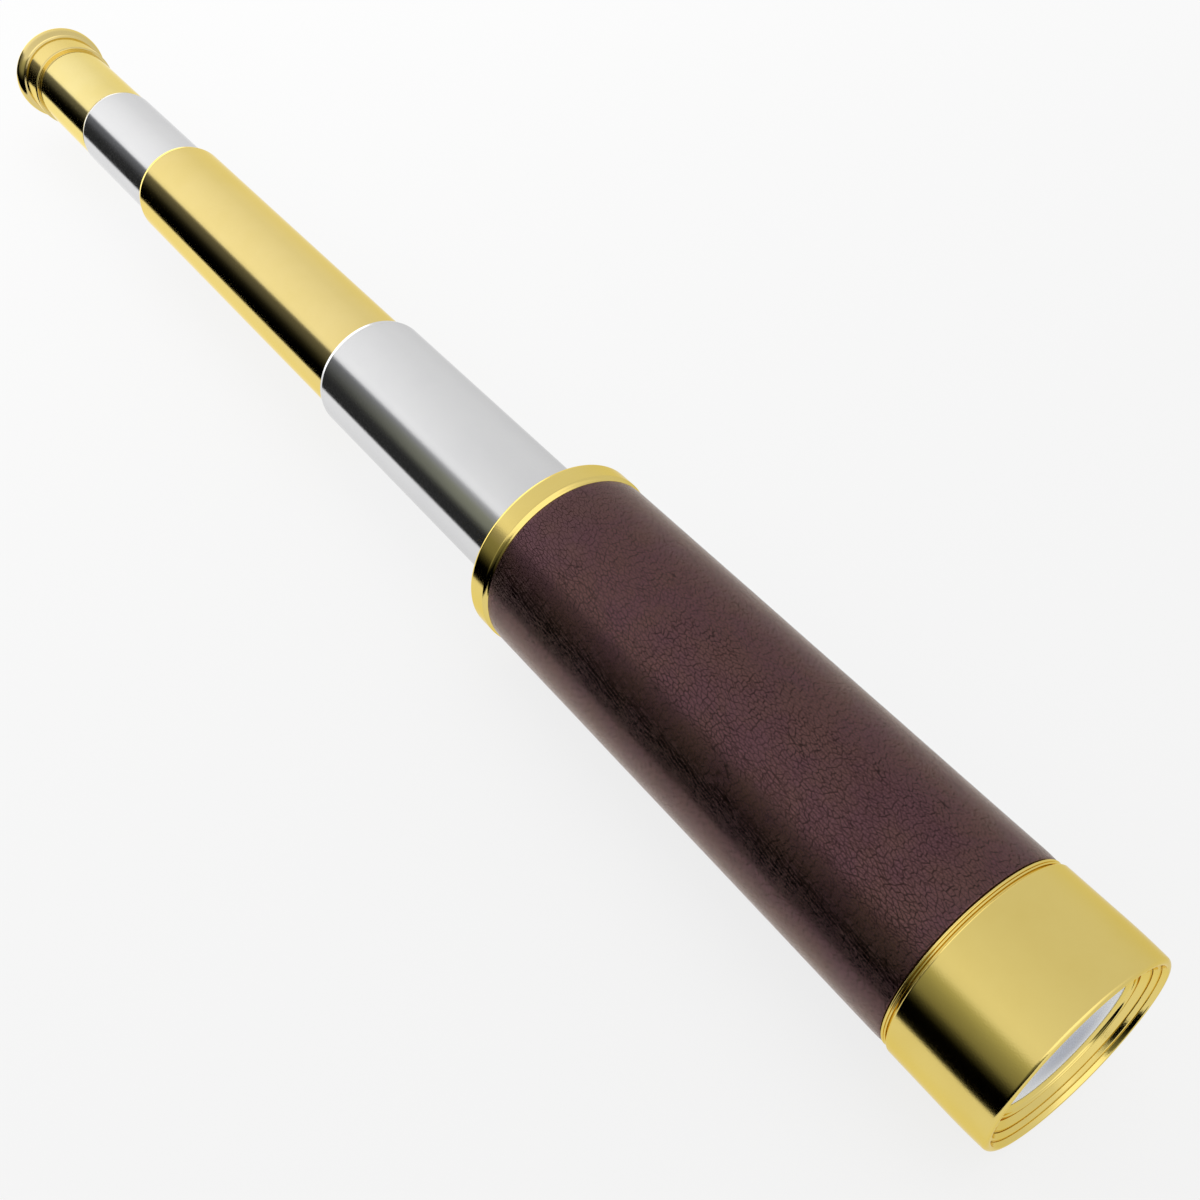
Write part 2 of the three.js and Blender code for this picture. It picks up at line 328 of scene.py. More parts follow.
def mapped(tree, value, low, high, to_low, to_high):
    """A smooth step from to_low to to_high while the value goes from low to high."""
    made = add(tree, "ShaderNodeMapRange", {"interpolation_type": "SMOOTHSTEP"}, Value=value)
    made.inputs["From Min"].default_value = low
    made.inputs["From Max"].default_value = high
    made.inputs["To Min"].default_value = to_low
    made.inputs["To Max"].default_value = to_high
    return made.outputs["Result"]


def mapped_linear(tree, value, low, high):
    """An even rise from 0 to 1 while the value goes from low to high."""
    made = add(tree, "ShaderNodeMapRange", Value=value)
    made.inputs["From Min"].default_value = low
    made.inputs["From Max"].default_value = high
    return made.outputs["Result"]


def maths(tree, operation, a, b=0.0):
    """The result of one maths node. a and b are values or sockets."""
    return add(tree, "ShaderNodeMath", {"operation": operation}, _0=a, _1=b).outputs[0]


def blended(tree, factor, a, b):
    """Colour a where the factor is 0, and colour b where it is 1."""
    made = tree.nodes.new("ShaderNodeMix")
    made.data_type = "RGBA"
    for socket, value in zip((made.inputs["Factor"], made.inputs[6], made.inputs[7]), (factor, a, b)):
        if isinstance(value, bpy.types.NodeSocket):
            tree.links.new(value, socket)
        else:
            socket.default_value = value
    return made.outputs[2]


def bumped(tree, height, strength, distance, normal=None):
    """A bumped normal. distance is in metres, and normal is one to start from."""
    made = add(tree, "ShaderNodeBump", Height=height, Strength=strength, Distance=distance)
    if normal is not None:
        tree.links.new(normal, made.inputs["Normal"])
    return made.outputs["Normal"]


# ---------------------------------------------------------------- materials
SMUDGE_SCALE = 45  # in waves for each metre
SPECKLE_SCALE = 3200
SPECKLE_DEPTH = 0.00002  # in metres
MARK_SCALE = 9000  # of the turning marks
MARK_DEPTH = 0.00001


def metal(name, color, worn, roughness, edge, grain=0.2, metallic=1.0):
    """A polished, turned metal with faint turning marks, smudges and grain."""
    material, tree, shader = new_material(name)
    place_on = object_coordinates(tree)
    along = object_coordinates(tree, (1.0, 0.02, 0.02))
    smudge = fractal(tree, place_on, SMUDGE_SCALE, detail=4, roughness=0.6)
    speckle = fractal(tree, place_on, SPECKLE_SCALE)
    marks = fractal(tree, along, MARK_SCALE)
    tone = mapped(tree, smudge, 0.35, 0.75, 0, 1)
    tree.links.new(blended(tree, tone, color, worn), shader.inputs["Base Color"])
    gloss = mapped(tree, smudge, 0.3, 0.7, roughness * 0.85, roughness * 1.2)
    tree.links.new(gloss, shader.inputs["Roughness"])
    speckled = bumped(tree, speckle, grain * 1.8, SPECKLE_DEPTH)
    tree.links.new(bumped(tree, marks, grain, MARK_DEPTH, speckled), shader.inputs["Normal"])
    shader.inputs["Metallic"].default_value = metallic
    shader.inputs["Specular Tint"].default_value = edge
    return material


BLACKENED = (0.012, 0.011, 0.010, 1)
BLACKENED_RUBBED = (0.05, 0.04, 0.028, 1)


def blackened():
    """Chemically blackened brass: matt, nearly black, rubbed a little at high spots."""
    material, tree, shader = new_material("blackened_brass")
    place_on = object_coordinates(tree)
    patch = fractal(tree, place_on, 260, detail=4, roughness=0.65)
    rubbed = mapped(tree, patch, 0.55, 0.85, 0, 1)
    tree.links.new(blended(tree, rubbed, BLACKENED, BLACKENED_RUBBED), shader.inputs["Base Color"])
    tree.links.new(mapped(tree, patch, 0.3, 0.8, 0.75, 0.5), shader.inputs["Roughness"])
    tree.links.new(bumped(tree, patch, 0.3, 0.00004), shader.inputs["Normal"])
    shader.inputs["Metallic"].default_value = 0.4
    return material


FELT_SHADE = (0.05, 0.008, 0.010, 1)
FELT_FIBRE = (0.15, 0.03, 0.035, 1)


def felt():
    """Dense dark red felt with short tangled fibres."""
    material, tree, shader = new_material("felt")
    drawn_out = object_coordinates(tree, (1, 3, 1))
    fibres = fractal(tree, drawn_out, 900, detail=5, roughness=0.7, distortion=1.5)
    tone = mapped(tree, fibres, 0.35, 0.7, 0, 1)
    tree.links.new(blended(tree, tone, FELT_SHADE, FELT_FIBRE), shader.inputs["Base Color"])
    fuzz = fractal(tree, object_coordinates(tree), 3000)
    height = maths(tree, "ADD", fibres, fuzz)
    tree.links.new(bumped(tree, height, 0.6, 0.0002), shader.inputs["Normal"])
    shader.inputs["Roughness"].default_value = 0.95
    shader.inputs["Sheen Weight"].default_value = 0.4
    return material


def axis_distance(tree):
    """Millimetres from the optical axis."""
    source = add(tree, "ShaderNodeTexCoord")
    centred = add(tree, "ShaderNodeVectorMath", {"operation": "SUBTRACT"}, _1=(0, 0, AXIS_Z))
    tree.links.new(source.outputs["Object"], centred.inputs[0])
    across = add(tree, "ShaderNodeVectorMath", {"operation": "MULTIPLY"}, _1=(0, 1 / MM, 1 / MM))
    tree.links.new(centred.outputs[0], across.inputs[0])
    length = add(tree, "ShaderNodeVectorMath", {"operation": "LENGTH"})
    tree.links.new(across.outputs[0], length.inputs[0])
    return length.outputs["Value"]


GLASS_TINT = (0.97, 0.985, 1.0, 1)
GLASS_INDEX = 1.52
# painted reflection on the glass: the middle colour is darkened with painted shade, the rim colour is
# lighter
PAINTED_REFLECTION_SHADED = (0.44, 0.46, 0.52, 1)
PAINTED_REFLECTION_LIT = (0.74, 0.76, 0.79, 1)


def glass():
    """Clear optical glass mixed at a slant with a pale grey diffuse layer, a painted reflection, which
    painted shade darkens towards the middle.
    """
    material, tree, shader = new_material("optical_glass")
    dust = fractal(tree, object_coordinates(tree), 300, detail=5, roughness=0.7)
    tree.links.new(mapped(tree, dust, 0.5, 0.8, 0.0, 0.03), shader.inputs["Roughness"])
    shader.inputs["Base Color"].default_value = GLASS_TINT
    shader.inputs["Transmission Weight"].default_value = 1.0
    shader.inputs["IOR"].default_value = GLASS_INDEX
    slant = add(tree, "ShaderNodeLayerWeight", Blend=0.35)
    toward_rim = mapped(tree, axis_distance(tree), 2.0, 16.0, 0, 1)
    # a pale diffuse layer as painted reflection, darker towards the middle with painted shade
    painted_reflection = add(tree, "ShaderNodeBsdfDiffuse")
    tree.links.new(blended(tree, toward_rim, PAINTED_REFLECTION_SHADED, PAINTED_REFLECTION_LIT), painted_reflection.inputs["Color"])
    share = mapped(tree, slant.outputs["Facing"], 0.14, 0.34, 0.1, 0.96)
    mix = add(tree, "ShaderNodeMixShader", _0=share)
    tree.links.new(shader.outputs[0], mix.inputs[1])
    tree.links.new(painted_reflection.outputs[0], mix.inputs[2])
    tree.links.new(mix.outputs[0], tree.nodes["Material Output"].inputs["Surface"])
    return material


LEATHER_UV = "Hide"  # a map in millimetres: x round the barrel, and y along it
WANDER = 1.1  # how far the creases stray, in millimetres
HIDE_PURPLE = (0.140, 0.070, 0.083, 1)
HIDE_BROWN = (0.150, 0.080, 0.076, 1)
HIDE_FLECK = (0.092, 0.050, 0.054, 1)
# painted shade: the near-black colour laid into the creases
PAINTED_CREASE_SHADE = (0.012, 0.006, 0.005, 1)
HIDE_EDGE_TINT = (1.0, 0.92, 0.84, 1)
HIDE_DEPTH = 0.00003  # of its creases, in metres


def laid_hide(tree, hide, tilt, stretch):
    """The hide's map, wandering a little, tilted in degrees and drawn out along the barrel."""
    wander = add(tree, "ShaderNodeTexNoise", Vector=hide, Scale=0.14, Detail=1.0)
    warp = add(tree, "ShaderNodeVectorMath", {"operation": "MULTIPLY_ADD"}, _1=(WANDER, WANDER, WANDER))
    tree.links.new(wander.outputs["Color"], warp.inputs[0])
    tree.links.new(hide, warp.inputs[2])
    laid = add(
        tree, "ShaderNodeMapping", {"vector_type": "TEXTURE"}, Vector=warp.outputs[0],
        Rotation=(0, 0, math.radians(tilt)), Scale=(1.0, stretch, 1.0),
    )
    return laid.outputs[0]


def cell_lines(tree, vector, scale, width):
    """1 on the edges between cells of grain, 0 inside them."""
    settings = {"voronoi_dimensions": "2D", "feature": "DISTANCE_TO_EDGE"}
    cells = add(tree, "ShaderNodeTexVoronoi", settings, Vector=vector, Scale=scale)
    return mapped(tree, cells.outputs["Distance"], 0.0, width, 1, 0)


def contour_lines(tree, vector, scale, width):
    """Smooth lines where slow noise crosses its middle value."""
    slow = fractal(tree, vector, scale, detail=0.0)
    from_middle = maths(tree, "ABSOLUTE", maths(tree, "SUBTRACT", slow, 0.5))
    return mapped(tree, from_middle, 0.0, width, 0.9, 0)


def hide_creases(tree, hide):
    """Two grains of cells and a few long lines, all drawn out along the barrel and worn in places."""
    grain = cell_lines(tree, laid_hide(tree, hide, 7, 2.8), 1.4, 0.12)
    small = cell_lines(tree, laid_hide(tree, hide, -16, 1.8), 2.3, 0.15)
    long_lines = contour_lines(tree, laid_hide(tree, hide, 6, 9.0), 0.6, 0.011)
    streaks = fractal(tree, laid_hide(tree, hide, 8, 3.0), 0.7, detail=3)
    worn_away = mapped(tree, streaks, 0.38, 0.62, 0.7, 1.0)
    faint = mapped(tree, fractal(tree, hide, 0.09, detail=3), 0.35, 0.65, 0.85, 1.0)
    deep = maths(tree, "MULTIPLY", maths(tree, "MAXIMUM", grain, long_lines), worn_away)
    deep = maths(tree, "MULTIPLY", deep, faint)
    return maths(tree, "MAXIMUM", maths(tree, "MULTIPLY", small, 0.4), deep)


def leather():
    """Purple-brown hide, waxed and worn smooth between its creases, which are darkened with painted
    shade.
    """
    material, tree, shader = new_material("leather")
    hide = add(tree, "ShaderNodeUVMap", {"uv_map": LEATHER_UV}).outputs[0]
    cut = hide_creases(tree, hide)
    pebble = fractal(tree, hide, 4.5, detail=3, roughness=0.6)
    patch = mapped(tree, fractal(tree, hide, 0.07, detail=4, roughness=0.65), 0.35, 0.65, 0, 1)
    mottle = mapped(tree, fractal(tree, hide, 2.2, detail=4, roughness=0.7), 0.3, 0.7, 0, 1)
    ground = blended(tree, patch, HIDE_PURPLE, HIDE_BROWN)
    flecked = blended(tree, maths(tree, "MULTIPLY", mottle, 0.4), ground, HIDE_FLECK)
    # painted shade: darkens the colour, and so the reflection, in the creases
    crease_shaded = blended(tree, maths(tree, "MULTIPLY", cut, 0.95), flecked, PAINTED_CREASE_SHADE)
    tree.links.new(crease_shaded, shader.inputs["Base Color"])
    waxed = mapped(tree, pebble, 0.3, 0.7, 0.11, 0.16)
    dull = maths(tree, "ADD", waxed, maths(tree, "MULTIPLY", cut, 0.1))
    tree.links.new(dull, shader.inputs["Roughness"])
    height = maths(tree, "SUBTRACT", maths(tree, "MULTIPLY", pebble, 0.16), cut)
    tree.links.new(bumped(tree, height, 1.0, HIDE_DEPTH), shader.inputs["Normal"])
    shader.inputs["Metallic"].default_value = 0.99  # gives the dark middle and the pale edges
    shader.inputs["Specular Tint"].default_value = HIDE_EDGE_TINT
    return material


# COLOR is clean metal, WORN is smudged metal, and EDGE is the tint at a grazing angle
BRASS_COLOR = (0.84, 0.665, 0.215, 1)
BRASS_WORN = (0.81, 0.63, 0.19, 1)
BRASS_EDGE = (0.96, 0.86, 0.50, 1)
PALE_BRASS = (0.82, 0.66, 0.275, 1)
PALE_WORN = (0.80, 0.64, 0.25, 1)
EYE_BRASS = (0.86, 0.73, 0.34, 1)
EYE_WORN = (0.83, 0.69, 0.29, 1)
DULL_BRASS = (0.62, 0.47, 0.18, 1)
DULL_WORN = (0.48, 0.33, 0.12, 1)
SILVER_COLOR = (0.755, 0.755, 0.76, 1)
SILVER_WORN = (0.73, 0.73, 0.74, 1)
SILVER_EDGE = (0.80, 0.80, 0.80, 1)

MATERIALS = {
    "polished_brass": metal("polished_brass", BRASS_COLOR, BRASS_WORN, 0.10, BRASS_EDGE),
    "inner_brass": metal("inner_brass", DULL_BRASS, DULL_WORN, 0.34, BRASS_EDGE, 0.3),
    "nickel_plate": metal("nickel_plate", SILVER_COLOR, SILVER_WORN, 0.10, SILVER_EDGE, metallic=0.965),
    "blackened_brass": blackened(),
    "leather": leather(),
    "felt": felt(),
    "optical_glass": glass(),
}

# the draws and the eye end are of a paler brass than the hood
DRAW_BRASS = metal("draw_brass", PALE_BRASS, PALE_WORN, 0.09, BRASS_EDGE)
EYEPIECE_BRASS = metal("eyepiece_brass", EYE_BRASS, EYE_WORN, 0.09, BRASS_EDGE)
PALER = {
    "draw_2_tube": DRAW_BRASS,
    "draw_2_mouth_collar": DRAW_BRASS,
    "eyepiece_tube": EYEPIECE_BRASS,
    "eyecup": DRAW_BRASS,
}


# ---------------------------------------------------------------- barrel
HOOD_BOW_END = 11.0  # the hood is a plain cylinder behind this station
HOOD_BOW = 0.32  # how much it draws in towards the front
HOOD_BOW_STEPS = 12
HOOD_REAR_ROUND = 0.45
LIP_BACK = 1.05  # length of the rolled front lip
LIP_CREST = 23.6  # radius of its foremost point
LIP_FOOT = (0.90, 22.66)  # where the lip ends inside the mouth


def hood_outline():
    """A cylinder that bows in towards a rolled lip. Its rear edge is rounded."""
    start, end = stations("objective_hood")
    outer = outer_radius("objective_hood")
    bore = inner_radius("leather_cover")
    bow = []
    for i in range(HOOD_BOW_STEPS + 1):
        share = i / HOOD_BOW_STEPS
        station = HOOD_BOW_END + (LIP_BACK - HOOD_BOW_END) * share
        bow.append((start + station, outer - HOOD_BOW * share ** 2))
    shoulder = outer - HOOD_BOW - LIP_CREST
    lip = arc(start + LIP_BACK, LIP_CREST, LIP_BACK, shoulder, 90, 180, 10)
    nose = arc(start + 0.3, LIP_CREST - 0.1, 0.3, 0.4, 180, 262, 6)
    rounding = HOOD_REAR_ROUND
    rear = arc(end - rounding, outer - rounding, rounding, rounding, 0, 90)
    return [(end, bore), *rear, *bow, *lip[1:], *nose, LIP_FOOT, (LIP_FOOT[0], bore)]


CELL_RIM = 23.5  # radius at which the cell meets the hood
CELL_FRONT = 0.92  # just behind the foot of the hood's lip
CELL_STEP = 9.0  # the cell is a narrower spigot behind this station
CELL_SEAT = 13.1  # where the bore for the glass ends


def cell_rings(bore):
    """The moulded front: each ring is a rounded nose, then a wall that drops back to a crease."""
    outer_ring = [(1.0, 22.44), (1.05, 22.02), (1.84, 21.31), (1.84, 21.6)]
    inner_ring = [(1.94, 21.6), (1.94, 20.98), (1.98, 20.62), (3.04, 19.46), (3.04, 19.8)]
    rings = [
        (CELL_FRONT, CELL_RIM), (CELL_FRONT, 22.78), (1.0, 22.78),
        *outer_ring, *inner_ring, (3.16, 19.8), (3.8, bore),
    ]
    widths = [0, 0, 0.02, 0.14, 0.14, 0.05, 0.02, 0.02, 0.12, 0.12, 0.05, 0.02, 0.02, 0.05]
    return softened(rings, widths)


def cell_outline():
    """The ringed front, the bore for the glass, and the spigot that enters the barrel tube."""
    end = stations("objective_cell")[1]
    inner = inner_radius("objective_cell")
    bore = outer_radius("crown_lens") + 0.3
    spigot = outer_radius("barrel_tube") - 1.3
    rear = [(CELL_SEAT, bore), (CELL_SEAT, inner), (end, inner)]
    rear += [(end, spigot), (CELL_STEP, spigot), (CELL_STEP, CELL_RIM)]
    return cell_rings(bore) + rear


RETAINING_BEAD = 0.35  # radius of the bead


def retaining_ring_outline():
    """A narrow bead beside the cell, then a plain slope down to the glass."""
    node = "objective_retaining_ring"
    outer = outer_radius(node)
    inner = inner_radius(node)
    end = stations(node)[1]
    glass_front = glass_station("crown_lens", inner) - 0.03
    bead = arc(3.2, 18.35, RETAINING_BEAD, RETAINING_BEAD, 60, 270, 8)
    slope = [(3.45, 17.92), (3.6, 17.7), (min(3.95, glass_front - 0.1), inner)]
    return [(end, outer), (3.45, outer), *bead, *slope, (glass_front, inner), (end, inner + 0.6)]


def glass_station(node, radius):
    """Where the front face of a lens is, at a given radius."""
    start = stations(node)[0]
    share = radius / outer_radius(node)
    rim = min(station for station, at in cad_outline(node) if at > outer_radius(node) - 0.01)
    return rim + (start - rim) * (1 - share ** 2) if start < rim else rim


SMALL_BEAD = 0.26  # radius
LARGE_BEAD = 0.31
BEAD_GROOVE = 0.75  # depth of the groove behind the hood


def bead_ring_outline():
    """A small bead and a larger one, with narrow grooves in front of each."""
    start, end = stations("front_bead_ring")
    bore = inner_radius("front_bead_ring")
    crown = outer_radius("front_bead_ring")
    floor = crown - BEAD_GROOVE
    small = arc(start + 0.62, crown - 0.42, SMALL_BEAD, SMALL_BEAD, 180, 0, 8)
    large = arc(end - LARGE_BEAD, crown - 0.34, LARGE_BEAD, 0.34, 180, 0, 10)
    return [(start, bore), (start, floor), (start + 0.3, floor), *small, *large, (end, bore)]


def bevel(end, outer, length, depth, nose=0.3):
    """The outer rear edge of a tube: a slant, then a rounded nose down to the end face."""
    slant = end - nose - length
    low = outer - depth
    corners = [(slant - 0.5, outer), (slant, outer), (end - nose, low), (end, low - nose)]
    return softened(corners, [0, 0.2, 0.16, 0])


ROLL = 1.05  # length and depth of the slant at the rear ring's front edge
ROLL_NOSE = 0.22
ROLL_SWELL = 0.06  # how far the middle of the slant stands out


def rear_ring_outline():
    """A flat band with a broad, slightly convex slant down to the leather in front."""
    start, end = stations("rear_ring")
    outer = outer_radius("rear_ring")
    bore = inner_radius("rear_ring")
    nose = arc(start + ROLL_NOSE, outer - ROLL - 0.05, ROLL_NOSE, ROLL_NOSE, 190, 150, 4)
    foot = (start + 0.1, outer - ROLL)
    middle = (start + ROLL / 2, outer - ROLL / 2 + ROLL_SWELL)
    slant = softened([foot, middle, (start + ROLL, outer), (start + 2, outer)], [0, 0.3, 0.16, 0])
    rim = bevel(end, outer, 0.5, 0.26, 0.2)
    return [(start, bore), *nose, *slant[1:], *rim, (end, bore)]


# ---------------------------------------------------------------- leather cover
HIDE_SEGMENTS = 384
HIDE_STEP = 0.55
HIDE_EDGE = 0.45  # rounding of its cut ends
HIDE_PARING = 3.2  # length over which it thins towards each end
HIDE_DROP = 0.16  # how much thinner it is there
HIDE_ROOM = 0.03  # kept for its unevenness
HIDE_SWELL = 0.022  # height of its slow unevenness
HIDE_RIPPLE = 0.011  # height of its quicker unevenness, drawn out along the barrel
HIDE_RADIUS = 24.6  # at which the unevenness is worked out
HIDE_ROUND_INSIDE = 0.3  # within this of its bore, the hide stays round


def hide_rise(angle, station):
    """Unevenness of the hide, in millimetres."""
    around = Vector((math.cos(angle), math.sin(angle), 0)) * HIDE_RADIUS
    slow = noise.noise(Vector((around.x, around.y, station)) * 0.07)
    quick = noise.noise(Vector((around.x, around.y, station * 0.35)) * 0.6)
    return HIDE_SWELL * slow + HIDE_RIPPLE * quick


def hide_outline(start, end, outer, bore):
    """A sleeve with rounded cut ends, pared thinner towards each of them."""
    length = end - start - 2 * HIDE_EDGE
    steps = round(length / HIDE_STEP)
    low = outer - HIDE_DROP - HIDE_EDGE
    outline = [(start, bore), *arc(start + HIDE_EDGE, low, HIDE_EDGE, HIDE_EDGE, 180, 100, 5)]
    for i in range(steps + 1):
        station = start + HIDE_EDGE + length * i / steps
        near_end = min(station - start, end - station) / HIDE_PARING
        thinned = HIDE_DROP * max(0.0, 1 - near_end) ** 2
        outline.append((station, outer - HIDE_ROOM - thinned))
    outline += arc(end - HIDE_EDGE, low, HIDE_EDGE, HIDE_EDGE, 80, 0, 5)
    return [*outline, (end, bore)]


def leather_cover():
    """The uneven hide sleeve, with the map that its creases are laid on."""
    node = "leather_cover"
    bore = inner_radius(node)
    outline = hide_outline(*stations(node), outer_radius(node), bore)
    if signed_area(outline) < 0:
        outline = outline[::-1]
    mesh = turned_mesh("turned_" + node, outline, HIDE_SEGMENTS)
    shape_hide(mesh, outline, bore)
    wrap_hide(mesh, outline)
    return finish_piece(mesh, [node], MATERIALS["leather"])


def shape_hide(mesh, outline, bore):
    """Raises and lowers the outer face of the sleeve, but not its bore."""
    index = 0
    for station, radius in outline:
        for k in range(HIDE_SEGMENTS):
            if radius > bore + HIDE_ROUND_INSIDE:
                angle = 2 * math.pi * k / HIDE_SEGMENTS
                mesh.vertices[index].co = place(station, radius + hide_rise(angle, station), angle)
            index += 1


def wrap_hide(mesh, outline):
    """Unrolls the hide into a map in millimetres: round the barrel, then along it."""
    layer = mesh.uv_layers.new(name=LEATHER_UV)
    girth = 2 * math.pi * max(radius for _, radius in outline)
    for polygon in mesh.polygons:
        columns = [mesh.loops[i].vertex_index % HIDE_SEGMENTS for i in polygon.loop_indices]
        crosses = max(columns) - min(columns) > 1
        for i, column in zip(polygon.loop_indices, columns):
            ring = mesh.loops[i].vertex_index // HIDE_SEGMENTS
            share = (column + (HIDE_SEGMENTS if crosses and column == 0 else 0)) / HIDE_SEGMENTS
            layer.data[i].uv = (share * girth, outline[ring][0])


# ---------------------------------------------------------------- draws
MOUTH_LIP = 2.2  # length of a mouth collar behind its tube
MOUTH_GAP = 0.01  # between the lip and the tube
MOUTH_ROUND = 0.15  # bevel at the hole


def tube_outline(index):
    """A plain tube from its CAD node. It ends just in front of its mouth collar's lip."""
    node = f"draw_{index}_tube"
    cad_end = stations(node)[1]
    end = stations(f"draw_{index}_mouth_collar")[1] - MOUTH_LIP - MOUTH_GAP
    outline = cad_outline(node)
    return [(end if abs(station - cad_end) < 0.01 else station, radius) for station, radius in outline]


def mouth_outline(index):
    """A collar flush with its tube. Its rear edge slants down to the next draw."""
    node = f"draw_{index}_mouth_collar"
    start, end = stations(node)
    outer = outer_radius(node)
    hole = inner_radius(node)
    spigot = outer_radius(f"draw_{index}_felt_liner")
    lip = end - MOUTH_LIP
    edge = bevel(end, outer, 1.3, 0.36)[::-1]
    inside = [(start, hole), (end - MOUTH_ROUND, hole), (end, hole + MOUTH_ROUND)]
    return [*inside, *edge, (lip, outer), (lip, spigot), (start, spigot)]


def last_mouth_outline():
    """The third tube ends in a slanted edge of its own."""
    node = "draw_3_tube"
    start, end = stations(node)
    outer = outer_radius(node)
    bore = inner_radius(node)
    edge = softened([(end - 1.6, outer), (end - 1.0, outer), (end, outer - 0.28)], [0, 0.2, 0])
    return [(start, bore), (start, outer), *edge, (end, bore)]


# ---------------------------------------------------------------- eyepiece
TIER_START = 463.9
CREASE = 473.4  # the fine groove between the tier and the flare
DISH_STEPS = 12
DISH_DEPTH = 6.5  # of the rear of the eyecup


def eyecup_outline():
    """A tier, a fine crease and a convex flare. The rear is a smooth dish round the eye hole."""
    start, end = stations("eyecup")
    rim = outer_radius("eyecup")
    tube = outer_radius("eyepiece_tube")
    bore = tube - 0.2
    tier = rim - 1.8
    hole = inner_radius("eyecup")
    neck = [(start, bore), (start, tube + 0.04), (TIER_START, tube + 0.06)]
    step = softened([*neck, (TIER_START, tier), (CREASE, tier - 0.02)], [0, 0.02, 0.06, 0.9, 0])
    flare = [(CREASE + 0.06, tier - 0.2), (CREASE + 0.16, tier - 0.2)]
    flare += arc(end - 1.6, rim - 2.0, 3.4, 2.0, 160, 90, 10)
    flare += arc(end - 1.1, rim - 1.1, 1.1, 1.1, 84, 0, 8)
    inner_rim = arc(end - 0.5, rim - 1.7, 0.5, 0.6, 0, -80, 5)
    dish = []
    for i in range(DISH_STEPS + 1):
        radius = hole + 0.5 + (rim - 2.5 - hole) * (1 - i / DISH_STEPS)
        dish.append((end - 7.1 + DISH_DEPTH * (radius / (rim - 2.0)) ** 3, radius))
    eye_hole = [(end - 7.3, hole + 0.15), (end - 7.6, hole), (end - 9.2, hole), (end - 9.2, bore)]
    return [*step, *flare, *inner_rim, *dish, *eye_hole]


# ---------------------------------------------------------------- assembly
LENS_STEPS = 10


def build_pieces():
    """One turned piece for every CAD node, first those with an outline finer than the CAD's."""
    leather_cover()
    fine = {
        "objective_hood": hood_outline(),
        "objective_cell": cell_outline(),
        "objective_retaining_ring": retaining_ring_outline(),
        "front_bead_ring": bead_ring_outline(),
        "rear_ring": rear_ring_outline(),
        "barrel_guide_collar": softened(cad_outline("barrel_guide_collar"), 0.18),
        "draw_1_tube": tube_outline(1),
        "draw_1_mouth_collar": mouth_outline(1),
        "draw_2_tube": tube_outline(2),
        "draw_2_mouth_collar": mouth_outline(2),
        "draw_3_tube": last_mouth_outline(),
        "eyepiece_tube": softened(cad_outline("eyepiece_tube"), 0.12),
        "eyecup": eyecup_outline(),
    }
    for node, outline in fine.items():
        turn(node, outline)
    for node in frame["nodes"]:
        if node in fine or node == "leather_cover":
            continue
        outline = lens_outline(node) if SLOTS[node] == "optical_glass" else cad_outline(node)
        turn(node, softened(outline, 0.1), INNER_SEGMENTS)


def lens_outline(node):
    """The CAD lens with each face as a smooth curve."""
    outline = cad_outline(node)
    outer = outer_radius(node)
    rim = sorted(station for station, radius in outline if radius > outer - 0.01)
    middle = sorted(station for station, radius in outline if radius < 0.01)
    front = lens_face(rim[0], middle[0], outer)
    rear = lens_face(rim[-1], middle[-1], outer)
    return front + rear[::-1]


def lens_face(rim, middle, outer):
    """A parabola from the middle of a lens face out to its rim."""
    points = []
    for i in range(LENS_STEPS + 1):
        share = i / LENS_STEPS
        points.append((rim + (middle - rim) * (1 - share ** 2), outer * share))
    return points


# ---------------------------------------------------------------- surroundings
# Each list holds (angle, brightness, tint) for the surroundings. The angle is in degrees above
# the horizon on the -Y side: 90 is overhead, and 180 is the horizon on the +Y side.
DARK_LOW = -36.0  # the dark strip that the metal reflects
DARK_HIGH = -11.0
WHITE = (1.0, 1.0, 1.0)
OLIVE = (1.0, 1.02, 0.74)
SLATE = (0.97, 0.99, 1.05)
FLOOR = [
    (-180, 0.745, WHITE),
    (-130, 0.79, WHITE),
    (-90, 0.87, WHITE),
    (DARK_LOW - 1.5, 0.86, WHITE),
    (DARK_LOW + 1.5, 0.0, WHITE),
    (DARK_HIGH, 0.0, WHITE),
]
CEILING = [
    (56, 0.84, WHITE),
    (80, 0.79, WHITE),
    (104, 0.755, WHITE),
    (130, 0.745, WHITE),
    (180, 0.745, WHITE),
]
FAR_CEILING = [
    (44, 0.92, WHITE),
    (80, 0.87, WHITE),
    (102, 0.825, WHITE),
    (140, 0.745, WHITE),
    (180, 0.745, WHITE),
]
HOOD_STRIP = [
    (-4, 0.04, OLIVE),
    (4, 0.20, OLIVE),
    (16, 0.32, OLIVE),
    (24, 0.45, OLIVE),
    (32, 0.85, WHITE),
    (42, 0.88, WHITE),
    *CEILING,
]
NEAR_STRIP = [
    (-4, 0.035, OLIVE),
    (6, 0.17, OLIVE),
    (18, 0.22, OLIVE),
    (28, 0.32, WHITE),
    (33, 0.5, WHITE),
    (37, 0.86, WHITE),
    (44, 0.90, WHITE),
    *CEILING,
]
FAR_STRIP = [
    (0, 0.006, SLATE),
    (6, 0.02, SLATE),
    (14, 0.06, SLATE),
    (26, 0.11, SLATE),
    (30, 0.22, SLATE),
    (34, 0.84, WHITE),
    *FAR_CEILING,
]
FRONT_STRIP = [
    (-4, 0.04, OLIVE),
    (8, 0.14, OLIVE),
    (26, 0.22, OLIVE),
    (36, 0.95, WHITE),
    *CEILING,
]
